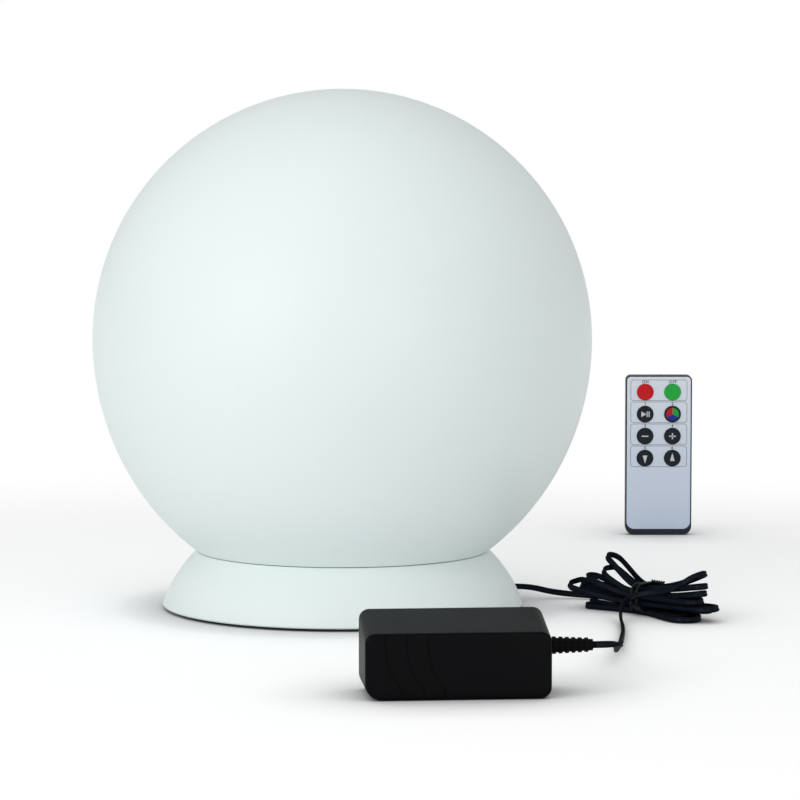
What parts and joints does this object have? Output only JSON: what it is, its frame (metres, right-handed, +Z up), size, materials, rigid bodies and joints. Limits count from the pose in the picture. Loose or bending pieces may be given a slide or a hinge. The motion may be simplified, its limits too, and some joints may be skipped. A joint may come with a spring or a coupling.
{
  "type": "garden globe light",
  "caption": "Opal globe light on a low flared base, with a tied lead, a plug-in adapter and a small infrared remote control.",
  "frame": {"origin": "on the lamp's axis, at the underside of its foot pad", "axes": "+Z up along the lamp's axis, -Y towards the viewer, +X to the viewer's right, the side the lead leaves from"},
  "size_m": [0.3852, 0.7154, 0.312],
  "materials": {
    "globe": "satin opal",
    "base": "satin opal",
    "foam": "matte foam",
    "cover": "satin",
    "seal": "matte",
    "screw": "zinc",
    "black_rubber": "satin",
    "board": "solder mask",
    "chip": "matte",
    "terminal": "satin",
    "aluminium": "milled",
    "white_board": "solder mask",
    "chip_lens": "gloss",
    "lens": "frosted",
    "collar": "satin",
    "gasket": "matte",
    "lead": "satin",
    "tie": "satin",
    "adapter": "fine texture",
    "blade": "nickel plated",
    "transformer": "tape",
    "capacitor": "sleeve",
    "remote_case": "satin",
    "remote_face": "silver",
    "contact": "plated",
    "emitter": "clear dark",
    "cell": "brushed",
    "red_key": "satin",
    "green_key": "satin",
    "dark_key": "satin",
    "colour_disc": "satin"
  },
  "bodies": {
    "lamp_base": {"foot_pad": "foam", "base_shell": "base", "bottom_cover": "cover", "cover_seal": "seal", "cover_screws": "screw", "cord_grommet": "black_rubber", "inner_lead": "black_rubber", "controller_board": "board", "board_parts": "chip", "terminal_block": "terminal", "ir_receiver": "chip", "board_screws": "screw", "led_heatsink": "aluminium", "led_board": "white_board", "led_chips": "chip_lens", "led_lens": "lens", "module_screws": "screw", "bayonet_collar": "collar", "collar_screws": "screw", "neck_gasket": "gasket", "base_lead": "lead", "cord_hank": "lead", "hank_tie": "tie", "adapter_lead": "lead", "adapter_shell": "adapter", "adapter_back": "adapter", "adapter_boot": "black_rubber", "adapter_blades": "blade", "adapter_screws": "screw", "adapter_board": "board", "adapter_transformer": "transformer", "adapter_capacitors": "capacitor"},
    "globe": {"globe_shell": "globe", "neck_ring": "collar", "ring_screws": "screw"},
    "remote": {"remote_case": "remote_case", "remote_face": "remote_face", "remote_board": "board", "remote_contacts": "contact", "ir_emitter": "emitter"},
    "battery_tray": {"battery_tray": "remote_case", "coin_cell": "cell"},
    "on_key": {"on_key": "red_key"},
    "off_key": {"off_key": "green_key"},
    "play_key": {"play_key": "dark_key"},
    "colour_key": {"colour_key": "colour_disc"},
    "minus_key": {"minus_key": "dark_key"},
    "plus_key": {"plus_key": "dark_key"},
    "slow_key": {"slow_key": "dark_key"},
    "quick_key": {"quick_key": "dark_key"}
  },
  "joints": [
    {"name": "globe_twist", "type": "hinge", "parent": "lamp_base", "child": "globe", "pos_m": [0, 0, 0.035], "axis": [0, 0, 1], "range_deg": [0, 40]},
    {"name": "remote_lift", "type": "slide", "parent": "lamp_base", "child": "remote", "axis": [0, 0, 1], "range_m": [0, 0.15]},
    {"name": "battery_tray_slide", "type": "slide", "parent": "remote", "child": "battery_tray", "axis": [0, 0, -1], "range_m": [0, 0.022]},
    {"name": "on_key_press", "type": "slide", "parent": "remote", "child": "on_key", "axis": [0, 1, 0], "range_m": [0, 0.0005], "stiffness_N_per_m": 800},
    {"name": "off_key_press", "type": "slide", "parent": "remote", "child": "off_key", "axis": [0, 1, 0], "range_m": [0, 0.0005], "stiffness_N_per_m": 800},
    {"name": "play_key_press", "type": "slide", "parent": "remote", "child": "play_key", "axis": [0, 1, 0], "range_m": [0, 0.0005], "stiffness_N_per_m": 800},
    {"name": "colour_key_press", "type": "slide", "parent": "remote", "child": "colour_key", "axis": [0, 1, 0], "range_m": [0, 0.0005], "stiffness_N_per_m": 800},
    {"name": "minus_key_press", "type": "slide", "parent": "remote", "child": "minus_key", "axis": [0, 1, 0], "range_m": [0, 0.0005], "stiffness_N_per_m": 800},
    {"name": "plus_key_press", "type": "slide", "parent": "remote", "child": "plus_key", "axis": [0, 1, 0], "range_m": [0, 0.0005], "stiffness_N_per_m": 800},
    {"name": "slow_key_press", "type": "slide", "parent": "remote", "child": "slow_key", "axis": [0, 1, 0], "range_m": [0, 0.0005], "stiffness_N_per_m": 800},
    {"name": "quick_key_press", "type": "slide", "parent": "remote", "child": "quick_key", "axis": [0, 1, 0], "range_m": [0, 0.0005], "stiffness_N_per_m": 800}
  ]
}
